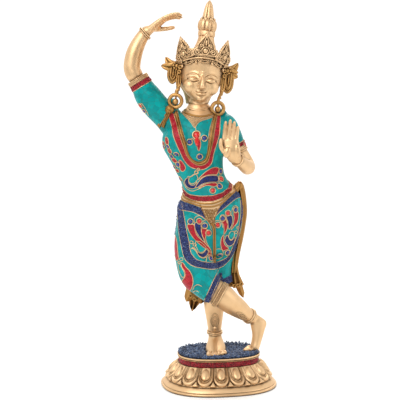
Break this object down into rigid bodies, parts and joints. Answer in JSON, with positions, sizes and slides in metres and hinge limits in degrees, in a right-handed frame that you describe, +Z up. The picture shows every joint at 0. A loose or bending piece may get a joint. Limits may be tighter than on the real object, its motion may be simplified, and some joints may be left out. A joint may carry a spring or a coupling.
{
  "type": "maya devi figure",
  "caption": "Brass figure of a standing mother goddess with one arm raised, dress inlaid with turquoise, coral and lapis, on an oval lotus base.",
  "frame": {"origin": "centre of the flat underside of the oval base", "axes": "+Z up, -Y towards the front of the base, +X to the viewer's right"},
  "size_m": [0.3177, 0.214, 0.811],
  "materials": {
    "brass": "cast brass, polished to a soft pale gold, darker in the recesses",
    "coral": "crushed and polished red coral in resin",
    "lapis": "crushed and polished lapis lazuli in resin",
    "turquoise": "turquoise mosaic in resin, polished flush with the brass, fine brown joints"
  },
  "bodies": {
    "root": {"figure": "brass", "pedestal": "brass", "coral_band": "coral", "chest_drop": "coral", "plume_bead_upper": "coral", "left_skirt_bead_upper": "coral", "left_skirt_bead_low": "coral", "right_skirt_bead_low": "coral", "right_skirt_bead_upper": "coral", "sleeve_bead": "coral", "lapis_bed": "lapis", "chest_bead_left": "lapis", "chest_bead_right": "lapis", "chest_bead_low": "lapis", "plume_bead_top": "lapis", "plume_bead_lower": "lapis", "left_skirt_bead_outer": "lapis", "left_skirt_bead_inner": "lapis", "right_skirt_bead_inner": "lapis", "right_skirt_bead_outer": "lapis", "hem_bead_left": "lapis", "hem_bead_middle": "lapis", "hem_bead_right": "lapis"}
  },
  "joints": []
}
